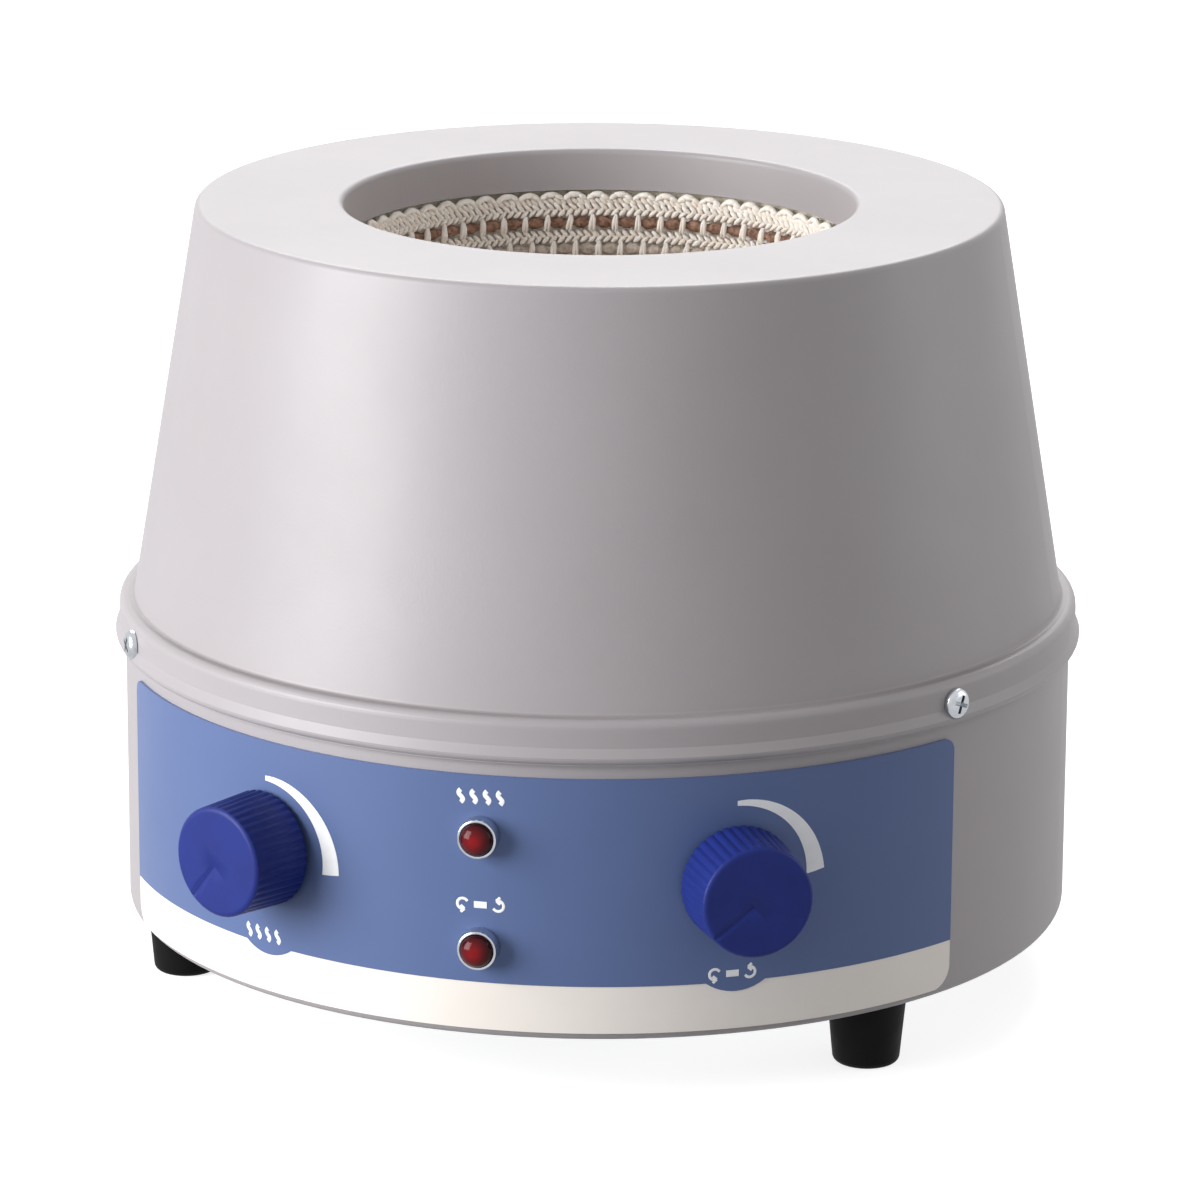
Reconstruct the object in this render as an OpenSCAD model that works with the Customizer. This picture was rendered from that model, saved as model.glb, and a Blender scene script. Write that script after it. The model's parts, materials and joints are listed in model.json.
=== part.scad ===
// Stirring heating mantle for a round-bottom flask.
// Origin: on the bench top under the flask mouth, +Z through the flask mouth, the control panel faces -Y.
// Bearings run from -Y towards +X, in degrees, and every length is in millimetres.

/* [Base shell] */
// Outer radius of the base shell
base_r = 129.5; // [128:0.5:132]
// Sheet thickness of the base shell
base_wall = 1.5; // [1:0.1:2]
// Height of the base shell above its underside
base_h = 84.5; // [83:0.5:86]
// Bend radius at the bottom edge
base_bend = 2.5; // [2:0.1:3.5]
// Width of the turned-in flange that carries the bottom plate
flange_w = 28; // [26:1:32]

/* [Upper shell] */
// Height of the top face above the bench
overall_h = 213.7; // [211:0.1:217]
// Sheet thickness of the upper shell
shell_wall = 1.3; // [1:0.1:1.6]
// Clearance between the skirt and the base shell
lap_gap = 0.3; // [0.2:0.05:0.5]
// Radius where the cone would meet the top face
cone_top_r = 109.1; // [107:0.1:111]
// Width of the ledge between cone and skirt
ledge_w = 4.1; // [3.6:0.1:5]
// Height of the ledge above the base shell's rim
ledge_rise = 2.3; // [2:0.1:3]
// Outer radius of the rounded top edge
top_bend = 1.8; // [1.6:0.1:4]
// Outer radius of the rounded ledge
ledge_bend = 2.4; // [1.8:0.1:2.8]
// Height of the upright skirt, from the ledge to its lower edge
skirt_h = 11.9; // [11:0.1:13]
// Height of the rolled hem at the skirt's lower edge
hem_h = 4.6; // [4:0.1:5.2]
// Thickness that the hem adds to the skirt
hem_proud = 1.2; // [0.8:0.1:1.6]
// Rounding of the hem's lower edge
hem_bend = 2.2; // [1.8:0.1:2.4]

/* [Mouth] */
// Inner radius of the mouth collar
mouth_r = 69.3; // [68.5:0.1:70]
// Height of the collar, from the top face to its lower edge
collar_h = 11.7; // [10:0.1:13]
// Outer radius of the rounded mouth edge
mouth_bend = 1.6; // [1.5:0.1:3]

/* [Heating bowl] */
// Radius of the flask that the bowl holds
flask_r = 65.5; // [64.5:0.1:66]
// Room between flask and lining
flask_gap = 1; // [0.5:0.1:1.5]
// Depth of the bowl's centre below the top face
bowl_drop = 16.2; // [15:0.1:18]
// Height of one knitted row
knit_row = 4.5; // [4.2:0.1:4.8]
// Stitches round one row
stitches = 60; // [40:2:60]
// Rows of stitches that cross the element, counted from the mouth
crossed_rows = 2; // [1:1:2]
// Radius of the glass-covered heating element
element_r = 1.45; // [1.2:0.05:1.5]
// Room between the can's flange and the top of the cone
can_margin = 5.4; // [4:0.2:7]
// Thickness of the insulation under the bowl
insulation_floor = 12; // [10:0.5:14]
// Sheet thickness of the inner can
can_wall = 1; // [0.8:0.1:1.2]
// Rounding of the can's lower edge
can_bend = 40; // [30:1:45]
// Width of the can's mounting flange
can_flange = 10.5; // [9:0.5:12]
// Number of studs that carry the can
can_studs = 6; // [4:1:8]

/* [Feet] */
// Height of the rubber feet
foot_h = 19; // [16:0.5:24]
// Radius of a foot at the top
foot_top_r = 10.5; // [9.5:0.1:11.5]
// Radius of a foot at the bottom
foot_end_r = 9; // [8:0.1:10]
// Distance of a foot's middle inside the base shell's outer face
foot_inset = 15; // [13.5:0.5:16.5]
// Bearing of the first foot
foot_bearing = 52; // [46:1:58]

/* [Control panel] */
// Half of the angle that the panel covers
panel_half = 59; // [56:0.5:62]
// Height of the panel's lower edge above the base shell's underside
panel_low = 2.4; // [1.5:0.1:4]
// Gap between the panel and the skirt's lower edge
panel_gap = 3.9; // [2:0.1:5.5]
// Height of the light strip along the lower edge
strip_h = 12.8; // [10:0.1:15]
// Thickness of the panel film
film_t = 0.6; // [0.4:0.1:0.8]
// Thickness of each printed layer
print_t = 0.15; // [0.1:0.05:0.2]
// Radius of the panel's upper corners
panel_top_corner = 3.8; // [2:0.1:6]
// Radius of the panel's lower corners
panel_low_corner = 6.5; // [4:0.1:8]

/* [Knobs] */
// Bearing of the heat knob, left of the panel's middle
heat_knob_bearing = 28.1; // [27:0.1:30]
// Bearing of the stir knob, right of the panel's middle
stir_knob_bearing = 29.3; // [28:0.1:31]
// Depth of the knob axes below the panel's upper edge
knob_drop = 28.6; // [27:0.1:30]
// Radius of a knob beside the panel
knob_base_r = 15.4; // [14.5:0.05:16.5]
// Radius of a knob at its face
knob_face_r = 14.7; // [14:0.05:15.2]
// Length of a knob
knob_len = 18.2; // [16:0.1:19]
// Gap between knob and panel
knob_gap = 0.6; // [0.4:0.1:1]
// Wall thickness of a knob
knob_wall = 1.8; // [1.4:0.1:2.2]
// Flutes round a knob
flutes = 40; // [30:1:48]
// Turn of the heat pointer from the top when off, clockwise
heat_off_angle = 220; // [210:1:230]
// Turn of the stir pointer from the top when off, clockwise
stir_off_angle = 233; // [220:1:240]
// Radius of the control shafts
shaft_r = 3; // [2.8:0.1:3.2]
// Radius of the threaded control bushings
bushing_r = 4.5; // [4.3:0.1:5]
// Radius of a control body
control_r = 12; // [10:0.5:13]
// Depth of a control body
control_depth = 13; // [11:0.5:15]

/* [Lamps] */
// Depth of the heat lamp below the panel's upper edge
heat_lamp_drop = 16; // [14:0.5:18]
// Height of the stir lamp above the light strip
stir_lamp_rise = 9.8; // [8:0.1:12]
// Radius of a lamp lens
lens_r = 4.35; // [4:0.05:5]
// Length of a lens in front of the panel
lens_len = 7; // [6:0.1:8]
// Length of a lamp body behind the panel
lamp_body_len = 24; // [20:1:28]

/* [Fasteners] */
// Radius of the thread on the main screws and studs
thread_r = 2; // [1.8:0.1:2.1]
// Radius of the main screw heads
head_r = 3.9; // [3.6:0.1:4.2]
// Height of the main screw heads
head_h = 2.3; // [2:0.1:2.6]
// Width of the nuts across their flats
nut_flats = 7; // [6.6:0.1:7.4]
// Height of the nuts
nut_h = 3.2; // [2.8:0.1:3.6]
// Bearing of the two shell screws beside the panel
shell_screw_bearing = 58.5; // [57:0.5:62]
// Depth of the shell screws below the ledge
shell_screw_drop = 6.1; // [5.8:0.1:6.4]

/* [Stirrer drive] */
// Radius of the motor
motor_r = 30; // [26:0.5:32]
// Height of the motor
motor_h = 40; // [34:1:44]
// Room for the magnet carrier above the bracket
bracket_drop = 10.2; // [9:0.2:12]
// Thickness of the motor bracket
bracket_t = 2; // [1.5:0.1:2.5]
// Half of the inner width of the bracket
bracket_half = 44; // [40:0.5:48]
// Depth of the bracket from front to back
bracket_depth = 50; // [44:1:56]
// Length of each bracket foot
bracket_foot = 20; // [18:1:24]
// Distance of the heat shield's rim inside the base shell's outer face
shield_inset = 25; // [22:0.5:28]
// Gap between the magnets and the can
rotor_gap = 3.5; // [2.5:0.1:5]
// Length of the magnet carrier
carrier_len = 84; // [76:1:90]
// Width of the magnet carrier
carrier_w = 22; // [21:0.5:26]
// Thickness of the magnet carrier
carrier_t = 7; // [6:0.5:8]
// Radius of a magnet
magnet_r = 9; // [8:0.1:10]
// Height of a magnet
magnet_h = 8; // [6:0.5:9]

/* [Electrics] */
// Length of the control board
board_w = 96; // [90:1:98]
// Depth of the control board
board_d = 52; // [48:1:54]
// Height of the board's standoffs
standoff_h = 8; // [7:0.5:9]
// Distance of the board's middle inside the base shell's outer face
board_inset = 50.5; // [49.5:0.5:52.5]
// Height of the mains inlet's middle above the bench
inlet_z = 57; // [54:0.5:60]
// Bearing of the fuse holder
fuse_bearing = 155; // [150:1:158]
// Radius of the fuse holder's barrel
fuse_r = 6.2; // [6:0.1:6.5]

/* [Hidden] */
$fn = 96;

// Clearances
running_gap = 0.05;   // shaft in its bushing, screw in its tapped hole
glue_gap = 0.05;      // film on the shell, screw head on the skirt
hole_gap = 0.2;       // screw in a plain hole
seat_gap = 0.2;       // loose parts stacked on each other
bowl_gap = 0.3;       // soft bowl inside the can
element_gap = 0.1;    // element in the lining

// Levels, from the bench upwards
base_z = foot_h;
plate_t = 1.2;
plate_top = base_z + base_wall + plate_t;
rim_z = base_z + base_h;
ledge_z = rim_z + ledge_rise;
skirt_z = ledge_z - skirt_h;
collar_z = overall_h - collar_h;
bowl_z = overall_h - bowl_drop;
under_top = overall_h - shell_wall;

// Radii of the shells
skirt_r = base_r + lap_gap + shell_wall;
cone_low_r = skirt_r - ledge_w;
collar_r = mouth_r + shell_wall;

// Heating bowl
bowl_r = flask_r + flask_gap;
ridge_r = knit_row * 0.52;
row_r = bowl_r + ridge_r;
lining_r = bowl_r + 2 * ridge_r;
knit_top = asin((collar_z - seat_gap - bowl_z) / row_r);
row_step = knit_row / row_r * 180 / PI;
rows = floor((90 + knit_top) / row_step);
element_rows = [for (i = [1:2:rows - 3]) i];
cavity_r = lining_r + bowl_gap;
can_r = cone_top_r - can_margin - can_flange;
can_in_r = can_r - can_wall;
can_floor_z = bowl_z - cavity_r - insulation_floor - bowl_gap - can_wall;
stud_circle_r = can_r + can_flange / 2;
stud_h = 7.5;
foot_circle_r = base_r - foot_inset;

// Panel
film_r = base_r + glue_gap + film_t;
print_r = film_r + print_t;
marks_r = print_r + print_t;
panel_z = base_z + panel_low;
panel_top = skirt_z - panel_gap;
field_z = panel_z + strip_h;
label_drop = 2.6;
label_half = 8;
scale_in = 19.3;
scale_thin = 1.7;
scale_thick = 5.7;
scale_turn = 95;
scale_slant = 5;
scale_reach = 8;

// Controls
knob_bearings = [-heat_knob_bearing, stir_knob_bearing];
knob_z = panel_top - knob_drop;
heat_lamp_z = panel_top - heat_lamp_drop;
stir_lamp_z = field_z + stir_lamp_rise;
inner_wall = base_r - base_wall;
control_front = sqrt(inner_wall ^ 2 - control_r ^ 2) - glue_gap;
control_nut_h = 2;
bushing_end = print_r + control_nut_h + 1;
knob_seat = print_r + knob_gap;
knob_face = knob_seat + knob_len;
hub_r = shaft_r + 2.4;
shaft_end = knob_face - 3.5;
shaft_start = control_front - control_depth * 0.7;
flat_cut = 0.5;

// Stirrer
motor_hole_h = 8;
rotor_top = can_floor_z - rotor_gap;
magnet_sink = 4;
carrier_top = rotor_top - magnet_h + magnet_sink;
carrier_z = carrier_top - carrier_t;
carrier_hub_r = 8;
carrier_hub_h = 3.5;
bracket_top = carrier_z - bracket_drop;
bracket_z = bracket_top - bracket_t;
motor_shaft_r = 3;
motor_boss_r = 9;
motor_bolt_r = motor_r * 0.72;
shield_r = base_r - shield_inset;
shield_t = 0.8;
shield_lip = 5;
magnet_x = carrier_len / 2 - magnet_r - 3;

// Electrics
board_y = base_r - board_inset;
board_t = 1.6;
board_z = plate_top + standoff_h;
board_top = board_z + board_t;
board_margin = 5;
inlet_w = 28;
inlet_h = 50;
inlet_t = 2.8;
socket_w = 20.4;
socket_h = 28;
socket_in_w = 16.4;
socket_in_h = 24;
socket_cut = 4;
socket_depth = 22;
pin_room = 17;
pin_w = 4;
pin_t = 2;
pin_pitch = 7;
inlet_screw_y = 20;
small_screw_r = 1.5;
small_head_r = 2.8;
small_head_h = 1.8;
fuse_z = inlet_z;
fuse_len = 28;
fuse_rim = 2;
fuse_rim_h = 2.4;
fuse_wall = 1.2;
fuse_bore = 22;
fuse_nut_h = 3.6;
fuse_nut_flats = 17;
fuse_cap_h = 7;
fuse_slot = 1.2;
sink_w = 30;
sink_h = 26;
sink_t = 3;
fin_t = 1.5;
fin_w = 12;
fin_pitch = 5;
core_w = 30;
core_d = 18;
core_h = 24;
coil_w = 20;
coil_d = 24;
coil_h = 18;
caps = [[-0.35, 5.5, 8.5], [-0.23, 4, 7], [0.31, 4, 7]];   // place across the board, radius, height
terminal_w = 40;
terminal_d = 18;
terminal_h = 15;
terminal_hole_r = 2.6;
terminal_pitch = 12;
terminal_x = base_r * 0.54;
terminal_y = base_r * 0.48;

// ---- Shared shapes ----

// Places children on the bearing: z points outwards, x to the right as seen from outside, y up
module radial(bearing, r, z)
    translate([r * sin(bearing), -r * cos(bearing), z])
        rotate([90, 0, bearing])
            children();

function heading(a, b) = atan2(b.y - a.y, b.x - a.x);
function left_of(a) = [-sin(a), cos(a)];
function shortest(a) = a > 180 ? a - 360 : a < -180 ? a + 360 : a;

// Points of the bend at b, on the path moved to its left by off
function bend(a, b, c, r, off, steps = 6) =
    let (start = heading(a, b), turn = shortest(heading(b, c) - start), side = sign(turn))
    let (centre = b - r * tan(abs(turn) / 2) * [cos(start), sin(start)] + side * r * left_of(start))
    [for (i = [0:steps]) centre + (off - side * r) * left_of(start + turn * i / steps)];

// A path with rounded corners, moved to its left by off
function bent_path(p, radii, off) =
    let (last = len(p) - 1)
    concat(
        [p[0] + off * left_of(heading(p[0], p[1]))],
        [for (i = [1:last - 1]) each bend(p[i - 1], p[i], p[i + 1], radii[i - 1], off)],
        [p[last] + off * left_of(heading(p[last - 1], p[last]))]
    );

function backwards(list) = [for (i = [len(list) - 1:-1:0]) list[i]];

// Section of a bent sheet whose thickness t lies to the left of the path
module sheet_section(p, radii, t)
    polygon(concat(bent_path(p, radii, 0), backwards(bent_path(p, radii, t))));

// Slot with round ends, centred
module slot_outline(length, width) {
    square([length - width, width], center = true);
    for (s = [-1, 1])
        translate([s * (length - width) / 2, 0])
            circle(d = width);
}

// Rectangle with round corners, centred
module round_rect(w, h, r) {
    square([w - 2 * r, h], center = true);
    square([w, h - 2 * r], center = true);
    for (x = [-1, 1], y = [-1, 1])
        translate([x * (w / 2 - r), y * (h / 2 - r)])
            circle(r);
}

// Hexagon measured across its flats
module hexagon(flats)
    circle(r = flats / sqrt(3), $fn = 6);

// Pan-head screw with a cross recess, its head above z = 0 and its shank below
module pan_screw(shank_r, shank_len, r, h) {
    recess = h * 0.6;
    difference() {
        rotate_extrude()
            polygon(concat(
                [[0, 0], [r, 0]],
                [for (a = [0:15:90]) [r * (0.55 + 0.45 * cos(a)), h * (0.35 + 0.65 * sin(a))]],
                [[0, h]]
            ));
        for (a = [0, 90])
            rotate(a)
                translate([-r * 0.55, -r * 0.12, h - recess])
                    cube([r * 1.1, r * 0.24, recess + 1]);
    }
    translate([0, 0, -shank_len])
        cylinder(r = shank_r, h = shank_len);
}

// What a screw with a flat seat clears away: a hole below z = 0 and room for its head above
module screw_seat(hole_r, hole_len, room_r, room_h)
    rotate_extrude()
        polygon([
            [0, -hole_len], [hole_r, -hole_len], [hole_r, 0], [room_r, 0], [room_r, room_h],
            [0, room_h]
        ]);

module nut(flats, h, bore_r)
    linear_extrude(h)
        difference() {
            hexagon(flats);
            circle(bore_r);
        }

// A band on the base shell's curve between two radii and two heights
module panel_band(r_in, r_out, z_low, z_high)
    rotate([0, 0, -90 - panel_half])
        rotate_extrude(angle = 2 * panel_half)
            translate([r_in, z_low])
                square([r_out - r_in, z_high - z_low]);

// What a corner of radius r leaves outside its rounding; x and y are 1 or -1 towards the corner
module corner_waste(r, x, y)
    difference() {
        translate([x > 0 ? 0 : -r - 1, y > 0 ? 0 : -r - 1])
            square(r + 1);
        circle(r);
    }

// Cuts a corner of the panel to its rounding, which runs a hair past both edges
module panel_corner(side, z, r, up) {
    reach = r - 0.05;
    radial(side * (panel_half - asin(reach / film_r)), base_r - 3, z - up * reach)
        linear_extrude(6)
            corner_waste(r, side, up);
}

module on_each(bearings, r, z)
    for (b = bearings)
        radial(b, r, z)
            children();

foot_bearings = [for (i = [0:2]) foot_bearing + i * 120];
shell_screw_bearings = [-shell_screw_bearing, shell_screw_bearing, 180];
stud_bearings = [for (i = [0:can_studs - 1]) (i + 0.5) * 360 / can_studs];

// Places children on the circle of the feet, at height z
module at_feet(z)
    for (b = foot_bearings)
        translate([foot_circle_r * sin(b), -foot_circle_r * cos(b), z])
            children();

module at_studs(z)
    for (b = stud_bearings)
        translate([stud_circle_r * sin(b), -stud_circle_r * cos(b), z])
            children();

module at_bracket_screws(z)
    for (x = [-1, 1], y = [-1, 1])
        translate([x * (bracket_half + bracket_foot / 2), y * bracket_depth * 0.3, z])
            children();

module at_motor_screws(z)
    for (a = [45:90:315])
        rotate(a)
            translate([motor_bolt_r, 0, z])
                children();

module at_board_corners(z)
    for (x = [-1, 1], y = [-1, 1])
        translate([x * (board_w / 2 - board_margin), -board_y + y * (board_d / 2 - board_margin), z])
            children();

// ---- Shells ----

// One spun sheet: collar, top, cone, ledge and skirt, with a rolled hem and welded studs
module upper_shell() color([0.87, 0.86, 0.86]) {
    path = [
        [mouth_r, collar_z], [mouth_r, overall_h], [cone_top_r, overall_h],
        [cone_low_r, ledge_z], [skirt_r, ledge_z], [skirt_r, skirt_z]
    ];
    hem_r = skirt_r + hem_proud;
    hem_top = skirt_z + hem_h;
    difference() {
        rotate_extrude() {
            sheet_section(path, [mouth_bend, top_bend, 1, ledge_bend], -shell_wall);
            polygon(concat(
                [[skirt_r - shell_wall, skirt_z]],
                [for (a = [0:15:90])
                    [hem_r - hem_bend * (1 - sin(a)), skirt_z + hem_bend * (1 - cos(a))]],
                [[skirt_r, hem_top], [skirt_r - shell_wall, hem_top]]
            ));
        }
        for (b = shell_screw_bearings)
            radial(b, skirt_r + glue_gap, ledge_z - shell_screw_drop)
                screw_seat(thread_r + hole_gap, shell_wall + 1, head_r + hole_gap, hem_proud + 2);
    }
    at_studs(under_top - stud_h)
        cylinder(r = thread_r, h = stud_h + shell_wall / 2);
}

// Pressed ring that carries the panel, open for the controls, lamps, inlet and fuse
module base_shell() color([0.87, 0.86, 0.86])
    difference() {
        rotate_extrude()
            sheet_section(
                [[base_r, rim_z], [base_r, base_z], [base_r - flange_w, base_z]],
                [base_bend], -base_wall
            );
        on_each(shell_screw_bearings, inner_wall - 1, ledge_z - shell_screw_drop)
            cylinder(r = thread_r + running_gap, h = base_wall + 2);
        on_each(knob_bearings, inner_wall - 2, knob_z)
            cylinder(r = bushing_r + hole_gap, h = base_wall + 4);
        for (z = [heat_lamp_z, stir_lamp_z])
            radial(0, inner_wall - 1, z)
                cylinder(r = lens_r - 0.6 + hole_gap, h = base_wall + 2);
        radial(180, inner_wall - 4, inlet_z) {
            translate([-socket_w / 2 - hole_gap, -socket_h / 2 - hole_gap, 0])
                cube([socket_w + 2 * hole_gap, socket_h + 2 * hole_gap, base_wall + 6]);
            for (s = [-1, 1])
                translate([0, s * inlet_screw_y, 0])
                    cylinder(r = small_screw_r + running_gap, h = base_wall + 6);
        }
        radial(fuse_bearing, inner_wall - 2, fuse_z)
            cylinder(r = fuse_r + hole_gap, h = base_wall + 4);
        at_feet(base_z - 1)
            cylinder(r = thread_r + hole_gap, h = base_wall + 2);
    }

// Flat closing plate that lies on the base shell's flange, with two banks of vent slots
module bottom_plate() color([0.72, 0.73, 0.74])
    translate([0, 0, base_z + base_wall])
        difference() {
            cylinder(r = inner_wall - base_bend + base_wall - 0.5, h = plate_t);
            for (y = [-1, 1], i = [0:5])
                translate([0, y * (48 + i * 9), -1])
                    linear_extrude(plate_t + 2)
                        slot_outline(74 - i * 6, 4);
            at_feet(-1)
                cylinder(r = thread_r + hole_gap, h = plate_t + 2);
            at_bracket_screws(-1)
                cylinder(r = thread_r + hole_gap, h = plate_t + 2);
        }

// ---- Feet ----

module rubber_feet() color([0.09, 0.09, 0.1])
    at_feet(0)
        rotate_extrude()
            polygon(concat(
                [[thread_r + hole_gap, head_h + 4], [head_r + 1, head_h + 4], [head_r + 1, 0]],
                [for (a = [0:15:90]) [foot_end_r - 2 + 2 * sin(a), 2 - 2 * cos(a)]],
                [[foot_top_r, foot_h - 1.2], [foot_top_r - 0.4, foot_h], [thread_r + hole_gap, foot_h]]
            ));

foot_shank = foot_h - head_h - 4 + base_wall + plate_t + nut_h + 1;

module foot_screws() color([0.7, 0.71, 0.73])
    at_feet(head_h + 4)
        rotate([180, 0, 0])
            pan_screw(thread_r, foot_shank, head_r, head_h);

module foot_nuts() color([0.7, 0.71, 0.73])
    at_feet(plate_top)
        nut(nut_flats, nut_h, thread_r + running_gap);

module shell_screws() color([0.78, 0.79, 0.8])
    on_each(shell_screw_bearings, skirt_r + glue_gap, ledge_z - shell_screw_drop)
        pan_screw(thread_r, shell_wall + lap_gap + base_wall + 5, head_r, head_h);

// ---- Panel ----

module panel_openings()
    union() {
        on_each(knob_bearings, base_r - 3, knob_z)
            cylinder(r = bushing_r + hole_gap, h = 8);
        for (z = [heat_lamp_z, stir_lamp_z])
            radial(0, base_r - 3, z)
                cylinder(r = lens_r - 0.6 + hole_gap, h = 8);
    }

module panel_film() color([0.95, 0.94, 0.87])
    difference() {
        panel_band(base_r + glue_gap, film_r, panel_z, panel_top);
        for (s = [-1, 1]) {
            panel_corner(s, panel_top, panel_top_corner, 1);
            panel_corner(s, panel_z, panel_low_corner, -1);
        }
        panel_openings();
    }

// The coloured field, with a round bulge under each knob for its label
module panel_print() color([0.42, 0.5, 0.72])
    difference() {
        union() {
            panel_band(film_r, print_r, field_z, panel_top);
            intersection() {
                panel_band(film_r, print_r, field_z - label_drop, field_z + 1);
                on_each(knob_bearings, base_r - 5, field_z + label_rise)
                    cylinder(r = label_drop + label_rise, h = 12);
            }
        }
        for (s = [-1, 1])
            panel_corner(s, panel_top, panel_top_corner, 1);
        panel_openings();
    }
label_rise = (label_half ^ 2 - label_drop ^ 2) / (2 * label_drop);

// A scale that widens clockwise from the top of each knob
module panel_marks() color([0.96, 0.96, 0.96])
    intersection() {
        panel_band(print_r, marks_r, field_z, panel_top);
        on_each(knob_bearings, base_r - scale_reach, knob_z)
            linear_extrude(marks_r - base_r + scale_reach + 3)
                polygon(concat(
                    [for (a = [0:5:scale_turn]) scale_in * [sin(a), cos(a)]],
                    [for (a = [scale_turn - scale_slant:-5:0]) scale_out(a) * [sin(a), cos(a)]]
                ));
    }
function scale_out(a) = scale_in + scale_thin + (scale_thick - scale_thin) * a / scale_turn;

// ---- Knobs and controls ----

// Fluted cap, hollow behind, with a hub on the shaft and a pointer line in its face
module knob(off_angle) color([0.18, 0.22, 0.6])
    difference() {
        union() {
            difference() {
                rotate_extrude()
                    polygon(concat(
                        [[0, 0], [knob_base_r - 0.4, 0], [knob_base_r, 0.6]],
                        [for (a = [0:15:90])
                            [knob_face_r - 1 + cos(a), knob_len - 1 + sin(a)]],
                        [[0, knob_len]]
                    ));
                translate([0, 0, -1])
                    cylinder(r1 = knob_base_r - knob_wall, r2 = knob_face_r - knob_wall,
                             h = knob_len - knob_wall + 1);
                for (i = [0:flutes - 1])
                    rotate(i * 360 / flutes)
                        translate([knob_base_r + 0.35, 0, -1])
                            rotate([0, -atan((knob_base_r - knob_face_r) / knob_len), 0])
                                cylinder(r = 0.85, h = knob_len + 3);
            }
            translate([0, 0, bushing_end - knob_seat + 0.8])
                cylinder(r = hub_r, h = knob_face - bushing_end - knob_wall / 2 - 0.8);
        }
        difference() {
            cylinder(r = shaft_r + running_gap / 2, h = shaft_end - knob_seat + 0.2);
            rotate(-off_angle)
                translate([-shaft_r, shaft_r - flat_cut + running_gap / 2, 0])
                    cube([2 * shaft_r, shaft_r, knob_len]);
        }
        rotate(-off_angle)
            translate([-0.45, 1.5, knob_len - 0.6])
                cube([0.9, knob_face_r, 2]);
    }

module control_shaft(off_angle) color([0.75, 0.76, 0.78])
    difference() {
        cylinder(r = shaft_r, h = shaft_end - shaft_start);
        rotate(-off_angle)
            translate([-shaft_r, shaft_r - flat_cut, bushing_end - shaft_start])
                cube([2 * shaft_r, shaft_r, knob_len]);
    }

// Rotary control: round body, threaded bushing through the wall and three solder tags
module rotary_control() color([0.3, 0.31, 0.33])
    difference() {
        union() {
            translate([0, 0, -control_depth])
                cylinder(r = control_r, h = control_depth);
            cylinder(r = bushing_r, h = bushing_end - control_front);
            for (x = [-5, 0, 5])
                translate([x - 1, -control_r - 5, -control_depth * 0.6])
                    cube([2, 8, 0.8]);
        }
        translate([0, 0, shaft_start - control_front - 0.3])
            cylinder(r = shaft_r + running_gap, h = bushing_end);
    }

module heat_knob() radial(-heat_knob_bearing, knob_seat, knob_z) knob(heat_off_angle);
module stir_knob() radial(stir_knob_bearing, knob_seat, knob_z) knob(stir_off_angle);
module heat_shaft() radial(-heat_knob_bearing, shaft_start, knob_z) control_shaft(heat_off_angle);
module stir_shaft() radial(stir_knob_bearing, shaft_start, knob_z) control_shaft(stir_off_angle);
module heat_control() radial(-heat_knob_bearing, control_front, knob_z) rotary_control();
module stir_control() radial(stir_knob_bearing, control_front, knob_z) rotary_control();

module control_nuts() color([0.75, 0.76, 0.78])
    on_each(knob_bearings, print_r + running_gap, knob_z)
        nut(2 * bushing_r + 4, control_nut_h, bushing_r + running_gap);

// Lamp lens: flange on the panel, barrel through the wall and a domed front
module lamp_lens() color([0.5, 0.08, 0.08])
    rotate_extrude()
        polygon(concat(
            [[0, base_r - base_wall - print_r - 1], [lens_r - 0.6, base_r - base_wall - print_r - 1],
             [lens_r - 0.6, 0.05], [lens_r + 0.6, 0.05], [lens_r + 0.6, 0.8], [lens_r, 1]],
            [for (a = [0:10:90]) [lens_r * cos(a), lens_len - 3.4 + 3.4 * sin(a)]]
        ));

module heat_lamp() radial(0, print_r, heat_lamp_z) lamp_lens();
module stir_lamp() radial(0, print_r, stir_lamp_z) lamp_lens();

module lamp_bodies() color([0.12, 0.12, 0.13])
    for (z = [heat_lamp_z, stir_lamp_z])
        radial(0, inner_wall - 1.1 - lamp_body_len, z) {
            cylinder(r = lens_r - 0.4, h = lamp_body_len);
            translate([0, 0, lamp_body_len - 4])
                cylinder(r = lens_r + 1.6, h = 3);
            for (x = [-1.5, 1.5])
                translate([x - 0.4, -1, -6])
                    cube([0.8, 2, 7]);
        }

// ---- Heating bowl ----

function row_angle(i) = knit_top - (i + 0.5) * row_step;
function row_centre(i) = [row_r * cos(row_angle(i)), bowl_z + row_r * sin(row_angle(i))];
function has_element(i) = i % 2 == 1 && i <= rows - 3;
function is_crossed(i) = has_element(i) && i < 2 * crossed_rows;

// The quarter of the section below the lining's top edge
module below_knit_top()
    translate([0, bowl_z - row_r - knit_row])
        square([row_r + knit_row, row_r + knit_row + collar_z - seat_gap - bowl_z]);

// Section of a row of inner radius r with a flat side towards the bowl's centre
module row_section(i, r, sides = 8)
    translate(row_centre(i))
        rotate(row_angle(i) + 180 / sides)
            circle(r / cos(180 / sides), $fn = sides);

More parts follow.
